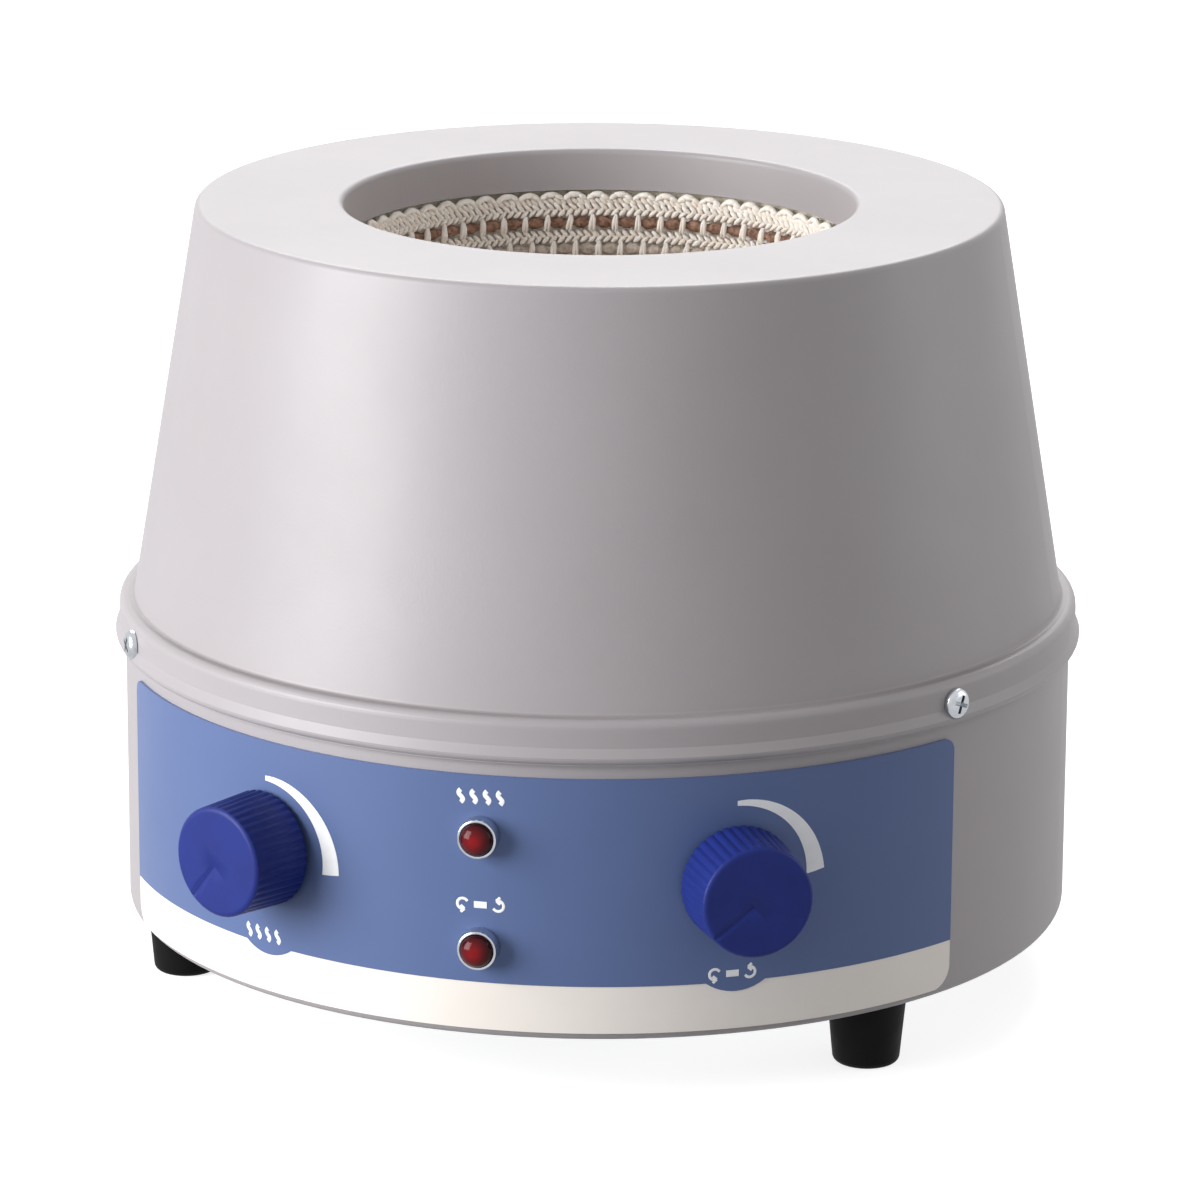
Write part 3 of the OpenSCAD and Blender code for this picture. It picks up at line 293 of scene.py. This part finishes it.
# colours run from the first to the second in patches; sizes are in millimetres
finishes = {
    # baked epoxy powder on sheet steel: satin, with a fine orange peel, and a painted shade line along
    # the crease where the cone meets the ledge
    "shell_paint": surface(
        "powder coated steel",
        {"colour": "#A5A0A3", "shade": "#A19C9F", "patch": 60, "gloss": (0.42, 0.48),
         "grain": 0.9, "depth": 0.03, "lines": [(106.0, 0.45, "#8F898B")]},
    ),
    # zinc-plated sheet, dull and slightly mottled
    "plate_steel": surface(
        "zinc plated sheet",
        {"colour": "#B9BCC0", "shade": "#A3A7AC", "patch": 14, "gloss": (0.32, 0.48),
         "grain": 0.5, "depth": 0.01, "shader": {"Metallic": 1.0}},
    ),
    # moulded rubber, matt with a grey bloom
    "foot_rubber": surface(
        "moulded black rubber",
        {"colour": "#0C0A0B", "shade": "#121011", "patch": 5, "gloss": (0.50, 0.66),
         "grain": 0.35, "depth": 0.03, "shader": {"Specular IOR Level": 0.1}},
    ),
    # bright zinc plate with a hint of blue
    "zinc_fastener": surface(
        "bright zinc plate",
        {"colour": "#D4D7DC", "shade": "#BFC3C9", "patch": 2.5, "gloss": (0.18, 0.30),
         "grain": 0.3, "depth": 0.004, "shader": {"Metallic": 1.0}},
    ),
    # polyester film, printed behind: even, with a soft gloss, blue beside the blue field
    "film_cream": surface(
        "cream polyester film",
        {"colour": "#F3EDE8", "shade": "#EFE8E1", "patch": 40, "gloss": (0.30, 0.36),
         "grain": 0.45, "depth": 0.012, "upper": (36, 0.5, "#5F74A8", "#5F74A8")},
    ),
    # the same film where its print is blue
    "print_blue": surface(
        "blue printed polyester film",
        {"colour": "#5A6C98", "shade": "#576994", "patch": 40, "gloss": (0.34, 0.42),
         "grain": 0.45, "depth": 0.012, "shader": {"Specular IOR Level": 0.3}},
    ),
    # thick opaque ink, flat and clean at its edges
    "print_white": surface(
        "white screen print",
        {"colour": "#F7F8FA", "shade": "#F0F1F4", "patch": 3, "gloss": (0.36, 0.44),
         "grain": 0.25, "depth": 0.01},
    ),
    # plastic moulded in a lightly sparked tool: an even satin
    "knob_blue": surface(
        "blue moulded plastic",
        {"colour": "#1F2E7B", "shade": "#1C2970", "patch": 12, "gloss": (0.40, 0.48),
         "grain": 0.4, "depth": 0.018, "shader": {"Specular IOR Level": 0.2}},
    ),
    # turned bar: bright, with a fine feed mark
    "shaft_steel": surface(
        "turned steel",
        {"colour": "#C4C6C9", "shade": "#B4B6BA", "patch": 4, "gloss": (0.2, 0.3),
         "grain": 0.3, "depth": 0.006, "shader": {"Metallic": 1.0}},
    ),
    # pressed and barrelled: dull, with soft stains
    "control_case": surface(
        "pressed steel case",
        {"colour": "#8F9296", "shade": "#7D8085", "patch": 6, "gloss": (0.3, 0.4),
         "grain": 0.4, "depth": 0.01, "shader": {"Metallic": 0.9}},
    ),
    # clear red plastic with a mirror gloss; its colour is painted lighter in the middle and darker
    # towards the rim, standing in for the light through a clear dome
    "lens_red": surface(
        "red lens",
        {"colour": "#8A161A", "shade": "#7A1116", "patch": 4, "gloss": (0.10, 0.14),
         "grain": 2, "depth": 0.0, "rim": (lampHeights.values(), (0.9, 4.2), "#30060E"),
         "shader": {"Specular IOR Level": 0.16}},
    ),
    # glass-filled nylon out of the mould: near black, softly glossy
    "black_plastic": surface(
        "black moulded plastic",
        {"colour": "#1B1B1D", "shade": "#202023", "patch": 8, "gloss": (0.36, 0.46),
         "grain": 0.4, "depth": 0.02},
    ),
    # spun glass: nearly white, soft, with hairs that break the light
    "glass_yarn": surface(
        "glass yarn",
        {"colour": "#FFFDF8", "shade": "#F8ECE0", "patch": 2.2, "gloss": (0.5, 0.8),
         "grain": 0.35, "depth": 0.18},
    ),
    # glass braid over resistance wire: mottled, and browned by heat near the mouth
    "element_yarn": surface(
        "brown sheathed element",
        {"colour": "#D6C9BD", "shade": "#948577", "patch": 1.5, "gloss": (0.5, 0.8),
         "grain": 0.4, "depth": 0.2, "upper": (190.3, 2, "#B08870", "#4A2E22")},
    ),
    # pressed glass wool: matt and lumpy
    "glass_wool": surface(
        "glass wool",
        {"colour": "#E8E2D2", "shade": "#D8CFB8", "patch": 12, "gloss": (0.85, 0.95),
         "grain": 1.2, "depth": 0.5},
    ),
    # mill finish: bright, slightly blurred
    "can_aluminium": surface(
        "rolled aluminium",
        {"colour": "#C9CACC", "shade": "#BDBEC1", "patch": 18, "gloss": (0.26, 0.36),
         "grain": 0.5, "depth": 0.008, "shader": {"Metallic": 1.0}},
    ),
    # air-dried enamel: even, with a slight gloss
    "motor_paint": surface(
        "grey motor enamel",
        {"colour": "#5C6064", "shade": "#53575B", "patch": 14, "gloss": (0.38, 0.5),
         "grain": 0.7, "depth": 0.03},
    ),
    # sintered and ground: dark, dull
    "magnet_ferrite": surface(
        "ferrite",
        {"colour": "#2C2C2F", "shade": "#3A3A3D", "patch": 3, "gloss": (0.6, 0.75),
         "grain": 0.4, "depth": 0.04},
    ),
    # moulded nylon: waxy, off-white
    "carrier_nylon": surface(
        "white nylon",
        {"colour": "#E9E6DC", "shade": "#E2DED2", "patch": 12, "gloss": (0.4, 0.5),
         "grain": 0.5, "depth": 0.02},
    ),
    # solder mask over glass cloth: green, with a low gloss
    "board_laminate": surface(
        "green glass laminate",
        {"colour": "#1F5B3A", "shade": "#2A6B45", "patch": 6, "gloss": (0.3, 0.4),
         "grain": 0.6, "depth": 0.02},
    ),
    # turned brass, a little tarnished
    "brass": surface(
        "turned brass",
        {"colour": "#C9A961", "shade": "#B99850", "patch": 3, "gloss": (0.25, 0.35),
         "grain": 0.3, "depth": 0.006, "shader": {"Metallic": 1.0}},
    ),
    # varnished stack: dark, with a brown sheen
    "transformer_iron": surface(
        "varnished iron laminations",
        {"colour": "#4A4743", "shade": "#3C3A37", "patch": 4, "gloss": (0.4, 0.55),
         "grain": 0.5, "depth": 0.03, "shader": {"Metallic": 0.5}},
    ),
    # shrunk film: dark and glossy
    "capacitor_sleeve": surface(
        "dark blue shrink sleeve",
        {"colour": "#1E2A4A", "shade": "#243156", "patch": 6, "gloss": (0.2, 0.3),
         "grain": 0.6, "depth": 0.01},
    ),
    # fired and part glazed: chalky white
    "ceramic": surface(
        "white steatite",
        {"colour": "#ECE9E1", "shade": "#E2DED3", "patch": 6, "gloss": (0.3, 0.5),
         "grain": 0.5, "depth": 0.02},
    ),
}

for node in frame["nodes"].values():
    for slot in node.material_slots:
        slot.material = finishes[slot.material.name.split(".")[0]]
print("the carried-over parts have their finishes")


def deselect():
    if bpy.context.mode != "OBJECT":
        bpy.ops.object.mode_set(mode="OBJECT")
    bpy.ops.object.select_all(action="DESELECT")


def pickPoints(piece, keep):
    # opens edit mode with the points selected for which keep(index, place) is true
    bpy.ops.object.mode_set(mode="EDIT")
    bpy.ops.mesh.select_mode(type="VERT")
    bpy.ops.mesh.select_all(action="DESELECT")
    bpy.ops.object.mode_set(mode="OBJECT")
    for point in piece.data.vertices:
        point.select = keep(point.index, point.co)
    bpy.ops.object.mode_set(mode="EDIT")


def applyModifier(piece, kind, **settings):
    modifier = piece.modifiers.new(kind.lower(), kind)
    for name, value in settings.items():
        setattr(modifier, name, value)
    bpy.context.view_layer.objects.active = piece
    bpy.ops.object.modifier_apply(modifier=modifier.name)


def settle(piece, place=None):
    # moves the piece to its place and leaves the place in its mesh
    deselect()
    piece.select_set(True)
    bpy.context.view_layer.objects.active = piece
    if place is not None:
        piece.matrix_world = place
    bpy.ops.object.transform_apply(location=True, rotation=True, scale=True)


def joinAll(pieces, name):
    deselect()
    for piece in pieces:
        piece.select_set(True)
    bpy.context.view_layer.objects.active = pieces[0]
    bpy.ops.object.join()
    pieces[0].name = name
    return pieces[0]


def finishPiece(piece, name, slot, body="housing", angle=35):
    deselect()
    piece.name = name
    piece.select_set(True)
    bpy.context.view_layer.objects.active = piece
    bpy.ops.object.shade_smooth_by_angle(angle=math.radians(angle))
    piece.data.materials.clear()
    piece.data.materials.append(finishes[slot])
    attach(piece, body)
    return piece


def outFrom(bearing, distance, height):
    # a place on the shell: z points outwards, x to the right as seen from outside, y up
    return (
        Matrix.Translation(onBearing(bearing, distance * mm, height * mm))
        @ Matrix.Rotation(math.radians(bearing), 4, "Z")
        @ Matrix.Rotation(math.radians(90), 4, "X")
    )


def turned(name, outline, steps):
    # a ring of points drawn up through an outline of (radius, height) in millimetres; a ring
    # of no size couldn't be drawn on, so one in the middle keeps the least radius
    least = 0.001
    deselect()
    radius, height = outline[0]
    bpy.ops.mesh.primitive_circle_add(
        vertices=steps, radius=radius * mm, location=(0, 0, height * mm), fill_type="NOTHING"
    )
    piece = bpy.context.object
    piece.name = name
    settle(piece)
    bpy.ops.object.mode_set(mode="EDIT")
    bpy.ops.mesh.select_all(action="SELECT")
    for newRadius, newHeight in outline[1:]:
        bpy.ops.mesh.extrude_region_move(
            TRANSFORM_OT_translate={"value": (0, 0, (newHeight - height) * mm)}
        )
        share = max(newRadius, least) / radius
        bpy.ops.transform.resize(
            value=(share, share, 1), center_override=(0, 0, newHeight * mm)
        )
        radius, height = max(newRadius, least), newHeight
    return piece


def closeUp(piece):
    # points that met in the middle become one, and every face looks outwards
    bpy.ops.object.mode_set(mode="EDIT")
    bpy.ops.mesh.select_all(action="SELECT")
    bpy.ops.mesh.remove_doubles(threshold=0.01 * mm)
    bpy.ops.mesh.normals_make_consistent(inside=False)
    bpy.ops.object.mode_set(mode="OBJECT")


knit = {
    "bowlHeight": 197.5,
    "rowRadius": 68.84,
    "rowStep": 3.14,
    "topAngle": 4.05,
    "rows": 30,
    "stitch": 6.5,  # from one stitch to the next along a row
    "cordRadius": 1.0,
    "cordSteps": (120, 8),  # round the bowl, and round the cord
    "strandSteps": (6, 5),
    # strands: place down the row, half the depth, width and length, lean, number to a
    # stitch, first place, sink
    "edge": [
        (-0.09, (1.2, 0.95, 2.1), 90, 1, 0.0, 0.2),
        (0.08, (1.15, 0.85, 1.6), 58, 1, 0.31, 0.1),
        (0.08, (1.15, 0.85, 1.6), -58, 1, -0.31, 0.1),
        (0.42, (0.9, 0.72, 1.5), -44, 4, 0.0, 0.3),
    ],
    "fine": [
        (-0.16, (0.95, 0.72, 1.6), -46, 3, 0.0, 0.1),
        (0.26, (0.95, 0.72, 1.6), 46, 3, 0.16, 0.1),
    ],
    "plain": [
        (-0.22, (1.05, 1.05, 2.2), 58, 2, 0.0, -0.3),
        (0.24, (1.05, 1.05, 2.2), -52, 2, 0.2, -0.3),
    ],
    "tie": [(0.0, (0.95, 0.95, 2.5), 5, 1, 0.5, -1.2)],
    "bulge": [(0.0, (1.5, 1.75, 2.6), 90, 1, 0.0, 0.0)],
    "stagger": 0.37,  # of a stitch, from one row to the next
    "fineRows": 9,  # rows from the mouth that show the fine stitches and the plies of a tie
    "plies": (0.6, 0.36, 4),  # width and distance of two plies beside one strand's, and splay
    "unevenness": (4.0, 0.8),  # size and strength of the wander, millimetres
    "clothRadius": 70.4,
    "clothTop": 1.6,
    "clothThickness": 0.7,
    "clothSteps": (96, 48),
}


def rowAngle(row):
    return knit["topAngle"] - (row + 0.5) * knit["rowStep"]


def strandRing(row, size, lean, count, phase, sink, plies):
    # strands of one row: one is shaped and set in the bowl, and an array turns it round
    place = (
        Matrix.Rotation(phase, 4, "Z")
        @ Matrix.Translation((0, 0, knit["bowlHeight"] * mm))
        @ Matrix.Rotation(-math.radians(rowAngle(row)), 4, "Y")
        @ Matrix.Translation(((knit["rowRadius"] + sink) * mm, 0, 0))
        @ Matrix.Rotation(math.radians(lean), 4, "X")
    )
    thinner, apart, splay = knit["plies"]
    parts = []
    for side in ((-1, 1) if plies == 2 else (0,)):
        deselect()
        bpy.ops.mesh.primitive_uv_sphere_add(
            segments=knit["strandSteps"][0], ring_count=knit["strandSteps"][1], radius=mm
        )
        part = bpy.context.object
        width = size[1] * (thinner if side else 1)
        settle(
            part,
            place
            @ Matrix.Translation((0, side * size[1] * apart * mm, 0))
            @ Matrix.Rotation(math.radians(side * splay), 4, "X")
            @ Matrix.Diagonal((size[0], width, size[2], 1)),
        )
        parts.append(part)
    strand = joinAll(parts, "strand")
    turner.rotation_euler = (0, 0, 2 * math.pi / count)
    bpy.context.view_layer.update()
    applyModifier(
        strand, "ARRAY", count=count, use_relative_offset=False, use_object_offset=True,
        offset_object=turner,
    )
    return strand


def cordRing(row):
    angle = math.radians(rowAngle(row))
    bpy.ops.mesh.primitive_torus_add(
        major_radius=knit["rowRadius"] * math.cos(angle) * mm,
        minor_radius=knit["cordRadius"] * mm,
        major_segments=knit["cordSteps"][0],
        minor_segments=knit["cordSteps"][1],
        location=(0, 0, (knit["bowlHeight"] + knit["rowRadius"] * math.sin(angle)) * mm),
    )
    cord = bpy.context.object
    settle(cord)
    return cord


bpy.ops.object.empty_add()
turner = bpy.context.object
wander = bpy.data.textures.new("uneven yarn", "CLOUDS")
wander.cloud_type = "COLOR"
wander.noise_scale = knit["unevenness"][0] * mm
yarn, ties, cords = [], [], []
for row in range(knit["rows"]):
    around = 2 * math.pi * knit["rowRadius"] * math.cos(math.radians(rowAngle(row)))
    stitches = max(3, round(around / knit["stitch"]))
    if row == 0:
        kinds = [("edge", yarn)]
    elif row % 2 == 0 and row <= knit["rows"] - 3:
        kinds = [("tie", ties), ("bulge", cords)]
        cords.append(cordRing(row))
    else:
        kinds = [("fine" if row < knit["fineRows"] else "plain", yarn)]
    for kind, rings in kinds:
        for offset, size, lean, often, phase, sink in knit[kind]:
            rings.append(
                strandRing(
                    row + offset, size, lean, often * stitches,
                    (phase + knit["stagger"] * row) * 2 * math.pi / stitches, sink,
                    2 if kind == "tie" and row < knit["fineRows"] else 1,
                )
            )
bpy.data.objects.remove(turner)
for name, rings, slot in (
    ("knitYarn", yarn, "glass_yarn"),
    ("knitTies", ties, "glass_yarn"),
    ("elementCord", cords, "element_yarn"),
):
    piece = joinAll(rings, name)
    applyModifier(
        piece, "DISPLACE", texture=wander, texture_coords="GLOBAL", direction="RGB_TO_XYZ",
        strength=knit["unevenness"][1] * mm, mid_level=0.5,
    )
    finishPiece(piece, name, slot, angle=180)
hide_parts("knit_lining")
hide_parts("heater_element")

deselect()
bpy.ops.mesh.primitive_uv_sphere_add(
    segments=knit["clothSteps"][0], ring_count=knit["clothSteps"][1],
    radius=knit["clothRadius"] * mm, location=(0, 0, knit["bowlHeight"] * mm),
)
liningCloth = bpy.context.object
settle(liningCloth)
bpy.ops.object.mode_set(mode="EDIT")
bpy.ops.mesh.select_all(action="SELECT")
bpy.ops.mesh.bisect(
    plane_co=(0, 0, (knit["bowlHeight"] + knit["clothTop"]) * mm), plane_no=(0, 0, 1), clear_outer=True
)
bpy.ops.object.mode_set(mode="OBJECT")
applyModifier(liningCloth, "SOLIDIFY", thickness=knit["clothThickness"] * mm, offset=1)
finishPiece(liningCloth, "liningCloth", "glass_yarn", angle=60)
print("the bowl is knitted")


# from the mouth's axis to the panel's printed face, in millimetres
panelFace = -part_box("panel_print")[0][1] / mm

knob = {
    "clearance": 0.6,  # between the knob's rear edge and the panel
    "flutes": 40,
    "points": 6,  # points from one flute to the next
    "fluteDepth": 0.38,
    "fluteShape": (1.0, 0.62),  # share of the depth at a flute's middle and one point beside it
    # outlines of (radius, height), from the rear edge
    "fluted": [(15.0, 0.0), (15.4, 0.6), (14.75, 16.7)],
    "face": [(14.7, 17.55), (14.35, 17.9), (13.85, 18.2), (13.2, 18.2), (6.0, 18.2)],
    "hollow": [(13.4, 0.0), (13.2, 15.1), (5.6, 15.1), (5.4, 4.0), (3.2, 4.0), (3.2, 14.5)],
    "groove": (2.2, 0.6, 1.5),  # width and depth of the pointer's groove, its start from the middle
    "edge": 0.08,  # width of the broken edges
    # turn of the pointer clockwise from the top, joint, body and node
    "heat": (220, "heat_knob_turn", "heat_dial", "heat_knob"),
    "stir": (233, "stir_knob_turn", "stir_dial", "stir_knob"),
}


def fluteShare(index):
    # how far a point of the ring is pulled in: all the way in the middle of a flute
    step = index % knob["points"]
    step = min(step, knob["points"] - step)
    return knob["fluteShape"][step] if step < len(knob["fluteShape"]) else 0


def knobAxis(name):
    # bearing and height of the axis that a knob turns about, which points into the panel
    joint = next(each for each in frame["joints"] if each["name"] == name)
    return math.degrees(math.atan2(-joint["axis"][0], joint["axis"][1])), joint["pos_m"][2] / mm


def makeKnob(name, offAngle, joint, body, node):
    outline = knob["fluted"] + knob["face"]
    steps = knob["flutes"] * knob["points"]
    cap = turned(name, outline, steps)
    bpy.ops.mesh.edge_face_add()
    bpy.ops.object.mode_set(mode="OBJECT")
    for ring, (radius, _) in enumerate(knob["fluted"]):
        for share in knob["fluteShape"]:
            pickPoints(
                cap,
                lambda i, place: i // steps == ring and fluteShare(i % steps) == share,
            )
            size = 1 - knob["fluteDepth"] * share / radius
            bpy.ops.transform.resize(value=(size, size, 1), center_override=(0, 0, 0))
            bpy.ops.object.mode_set(mode="OBJECT")
    pickPoints(cap, lambda i, place: i < steps)
    height = 0
    radius = knob["fluted"][0][0]
    for newRadius, newHeight in knob["hollow"]:
        bpy.ops.mesh.extrude_region_move(
            TRANSFORM_OT_translate={"value": (0, 0, (newHeight - height) * mm)}
        )
        share = newRadius / radius
        bpy.ops.transform.resize(value=(share, share, 1), center_override=(0, 0, 0))
        radius, height = newRadius, newHeight
    bpy.ops.mesh.edge_face_add()
    closeUp(cap)

    width, depth, start = knob["groove"]
    top = knob["face"][-1][1]
    length = knob["fluted"][1][0] - start
    deselect()
    bpy.ops.mesh.primitive_cube_add(size=0.5 ** 0.5)  # 1 across its corners
    cutter = bpy.context.object
    settle(cutter, Matrix.Rotation(math.radians(45), 4, "Y"))
    settle(
        cutter,
        Matrix.Rotation(math.radians(-offAngle), 4, "Z")
        @ Matrix.Translation((0, (start + length / 2) * mm, top * mm))
        @ Matrix.Diagonal((width * mm, length * 2 ** 0.5 * mm, 2 * depth * mm, 1)),
    )
    applyModifier(cap, "BOOLEAN", operation="DIFFERENCE", object=cutter, solver="EXACT")
    bpy.data.objects.remove(cutter)
    applyModifier(
        cap, "BEVEL", width=knob["edge"] * mm, segments=1, limit_method="ANGLE",
        angle_limit=math.radians(50), harden_normals=False,
    )
    bearing, height = knobAxis(joint)
    settle(cap, outFrom(bearing, panelFace + knob["clearance"], height))
    finishPiece(cap, name, "knob_blue", body, angle=33)
    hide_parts(node)


for which in ("heat", "stir"):
    makeKnob(which + "Knob", *knob[which])
print("the knobs are moulded")


lamp = {
    "steps": 48,
    "lens": (4.35, 4.0, 3.0),  # radius, height of its barrel and of the dome on it
    # outlines of (radius, height over the panel)
    "neck": [(3.7, -2.0), (3.75, 0.05)],
    "bezel": [
        (4.4, 0.02), (5.25, 0.02), (5.25, 3.7), (5.12, 4.1), (4.85, 4.3), (4.55, 4.25), (4.4, 4.0),
    ],
}


def lensOutline():
    # a neck in the panel, a straight barrel and a dome
    radius, barrel, dome = lamp["lens"]
    arc = [
        (radius * math.cos(math.radians(a)), barrel + dome * math.sin(math.radians(a)))
        for a in range(0, 91, 9)
    ]
    return lamp["neck"] + [(radius, lamp["neck"][-1][1])] + arc


def makeLamp(name, height, node):
    lens = turned(name + "Lens", lensOutline(), lamp["steps"])
    pickPoints(lens, lambda i, place: i < lamp["steps"])
    bpy.ops.mesh.edge_face_add()
    bezel = turned(name + "LensRim", lamp["bezel"] + lamp["bezel"][:1], lamp["steps"])
    for piece, slot in ((lens, "lens_red"), (bezel, "zinc_fastener")):
        closeUp(piece)
        settle(piece, outFrom(0, panelFace, height))
        finishPiece(piece, piece.name, slot, angle=30)
    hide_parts(node)


for which, height in lampHeights.items():
    makeLamp(which, height, which + "_lamp")
print("the lamps are in")


sign = {
    "ink": 0.1,
    "lift": 0.02,  # of the ink's middle over the panel's face
    "bold": 1.2,  # widths of a line
    "light": 0.75,
    "waves": {"places": (-5.2, -1.75, 1.75, 5.2), "swing": 0.55, "height": 3.4},
    "bar": {"half": 1.7, "lines": (-0.3, 0.3)},
    "arrow": {"place": 4.7, "radius": 1.45, "from": -150, "to": 110, "barb": 1.4, "splay": 42},
    # bearing and height
    "places": {
        "heatLamp": (0, 84.2),
        "stirLamp": (0, 55.2),
        "heatKnob": (-28.9, 37.0),
        "stirKnob": (28.9, 36.5),
    },
}


def heatStrokes():
    # four rising waves
    wave = sign["waves"]
    return [
        (
            sign["bold"],
            [
                (x + wave["swing"] * math.sin(math.radians(a)), wave["height"] * (a / 360 - 0.5))
                for a in range(0, 361, 20)
            ],
        )
        for x in wave["places"]
    ]


def stirStrokes():
    # a stirring bar between two arrows that go round
    bar, arrow = sign["bar"], sign["arrow"]
    strokes = [(sign["bold"], [(-bar["half"], y), (bar["half"], y)]) for y in bar["lines"]]
    for side in (-1, 1):
        arc = [
            Vector(
                (
                    side * (arrow["place"] + arrow["radius"] * math.cos(math.radians(a))),
                    side * arrow["radius"] * math.sin(math.radians(a)),
                )
            )
            for a in range(arrow["from"], arrow["to"] + 1, 20)
        ]
        tip, back = arc[-1], (arc[-3] - arc[-1]).normalized() * arrow["barb"]
        strokes.append((sign["light"], arc))
        for turn in (-arrow["splay"], arrow["splay"]):
            barb = Matrix.Rotation(math.radians(turn), 2) @ back
            strokes.append((sign["light"], [tip, tip + barb]))
    return strokes


def layOnPanel(ink, bearing, height):
    # bends a flat print onto the panel's curve
    radius = (panelFace + sign["lift"]) * mm
    for point in ink.data.vertices:
        out = radius + point.co.z
        turn = math.radians(bearing) + point.co.x / radius
        point.co = (out * math.sin(turn), -out * math.cos(turn), height * mm + point.co.y)


def drawSign(name, strokes, bearing, height):
    drawn = []
    for width, stroke in strokes:
        deselect()
        bpy.ops.curve.primitive_bezier_curve_add()
        line = bpy.context.object
        line.data.splines.clear()
        spline = line.data.splines.new("POLY")
        spline.points.add(len(stroke) - 1)
        for point, (x, y) in zip(spline.points, stroke):
            point.co = (x * mm, y * mm, 0, 1)
        line.data.bevel_depth = width / 2 * mm
        line.data.bevel_resolution = 2
        line.data.use_fill_caps = True
        bpy.ops.object.convert(target="MESH")
        line = bpy.context.object
        settle(line, Matrix.Diagonal((1, 1, sign["ink"] / width, 1)))
        drawn.append(line)
    ink = joinAll(drawn, name)
    layOnPanel(ink, bearing, height)
    finishPiece(ink, name, "print_white", angle=60)


for spot, place in sign["places"].items():
    drawSign(spot + "Sign", heatStrokes() if spot.startswith("heat") else stirStrokes(), *place)


scale = {
    "places": [(-28.3, 60.0, 98), (29.3, 62.4, 93)],  # bearing, height and how far round
    "inner": 19.3,
    "thickness": (1.3, 5.1),  # of the band, from its thin end to its broad one
    "slant": 3,  # how much sooner its outer edge ends
    "steps": 24,
}


def drawScale(bearing, height, reach):
    # a band round the knob that grows from its start at the top
    bpy.ops.mesh.primitive_grid_add(x_subdivisions=scale["steps"], y_subdivisions=2, size=1)
    band = bpy.context.object
    thin, broad = scale["thickness"]
    for point in band.data.vertices:
        along, across = point.co.x + 0.5, point.co.y + 0.5
        turn = math.radians(along * (reach - scale["slant"] * across))
        radius = scale["inner"] + across * (thin + (broad - thin) * along)
        point.co = (radius * math.sin(turn) * mm, radius * math.cos(turn) * mm, 0)
    layOnPanel(band, bearing, height)
    applyModifier(band, "SOLIDIFY", thickness=sign["ink"] * mm, offset=0)
    return band


scaleMarks = joinAll([drawScale(*place) for place in scale["places"]], "scaleMarks")
finishPiece(scaleMarks, "scaleMarks", "print_white", angle=60)
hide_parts("panel_marks")
print("the signs and scales are printed")


screw = {
    "steps": 32,
    "flat": 0.5,  # share of the radius that the rounding leaves flat
    "side": 0.3,  # share of the height below the rounding
    "edge": (0.97, 0.1),  # share of the radius where the underside ends, height of its edge
    # the cross recess beside the head: length and width by its radius, share of its height
    # at which the cutter's middle lies, and how much of both is left at the bottom
    "recess": (1.25, 0.27, 0.62, (0.75, 0.7)),
    "spin": (20, 7),  # each screw stopped at its own turn: a start and a share of its bearing
    # node, bearings, heights, head's radius and height, shank's radius
    "shellScrews": ("shell_screws", (-58.5, 58.5, 180), (99.7,), 4.1, 2.3, 1.9),
    "inletScrews": ("inlet_screws", (180,), (37, 77), 2.8, 1.8, 1.4),
}


def screwHead(radius, height, shank):
    # a pan head with a cross recess on a short shank
    flat, side, (under, edge) = screw["flat"], screw["side"], screw["edge"]
    outline = [(shank, -height), (shank, 0.0), (radius * under, 0.0), (radius, edge)]
    outline += [
        (
            radius * (flat + (1 - flat) * math.cos(math.radians(a))),
            height * (side + (1 - side) * math.sin(math.radians(a))),
        )
        for a in range(0, 91, 15)
    ]
    head = turned("head", outline, screw["steps"])
    bpy.ops.mesh.edge_face_add()
    bpy.ops.object.mode_set(mode="OBJECT")
    pickPoints(head, lambda i, place: i < screw["steps"])
    bpy.ops.mesh.edge_face_add()
    closeUp(head)
    length, width, middle, taper = screw["recess"]
    for quarter in (0, 90):
        deselect()
        bpy.ops.mesh.primitive_cube_add(size=1)
        cutter = bpy.context.object
        pickPoints(cutter, lambda i, place: place.z < 0)
        bpy.ops.transform.resize(value=(*taper, 1), center_override=(0, 0, 0))
        bpy.ops.object.mode_set(mode="OBJECT")
        settle(
            cutter,
            Matrix.Rotation(math.radians(quarter), 4, "Z")
            @ Matrix.Translation((0, 0, height * middle * mm))
            @ Matrix.Diagonal((radius * length * mm, radius * width * mm, height * mm, 1)),
        )
        applyModifier(head, "BOOLEAN", operation="DIFFERENCE", object=cutter, solver="EXACT")
        bpy.data.objects.remove(cutter)
    return head


def makeScrews(name, node, bearings, heights, radius, headHeight, shank):
    # each kind has a screw at the back, where the solids' box says how far a head stands out
    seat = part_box(node)[1][1] / mm - headHeight
    start, share = screw["spin"]
    heads = []
    for bearing in bearings:
        for height in heights:
            head = screwHead(radius, headHeight, shank)
            spin = Matrix.Rotation(math.radians(start + share * bearing), 4, "Z")
            settle(head, outFrom(bearing, seat, height) @ spin)
            heads.append(head)
    finishPiece(joinAll(heads, name), name, "zinc_fastener", angle=35)
    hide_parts(node)


for which in ("shellScrews", "inletScrews"):
    makeScrews(which, *screw[which])
print("the screws are driven")
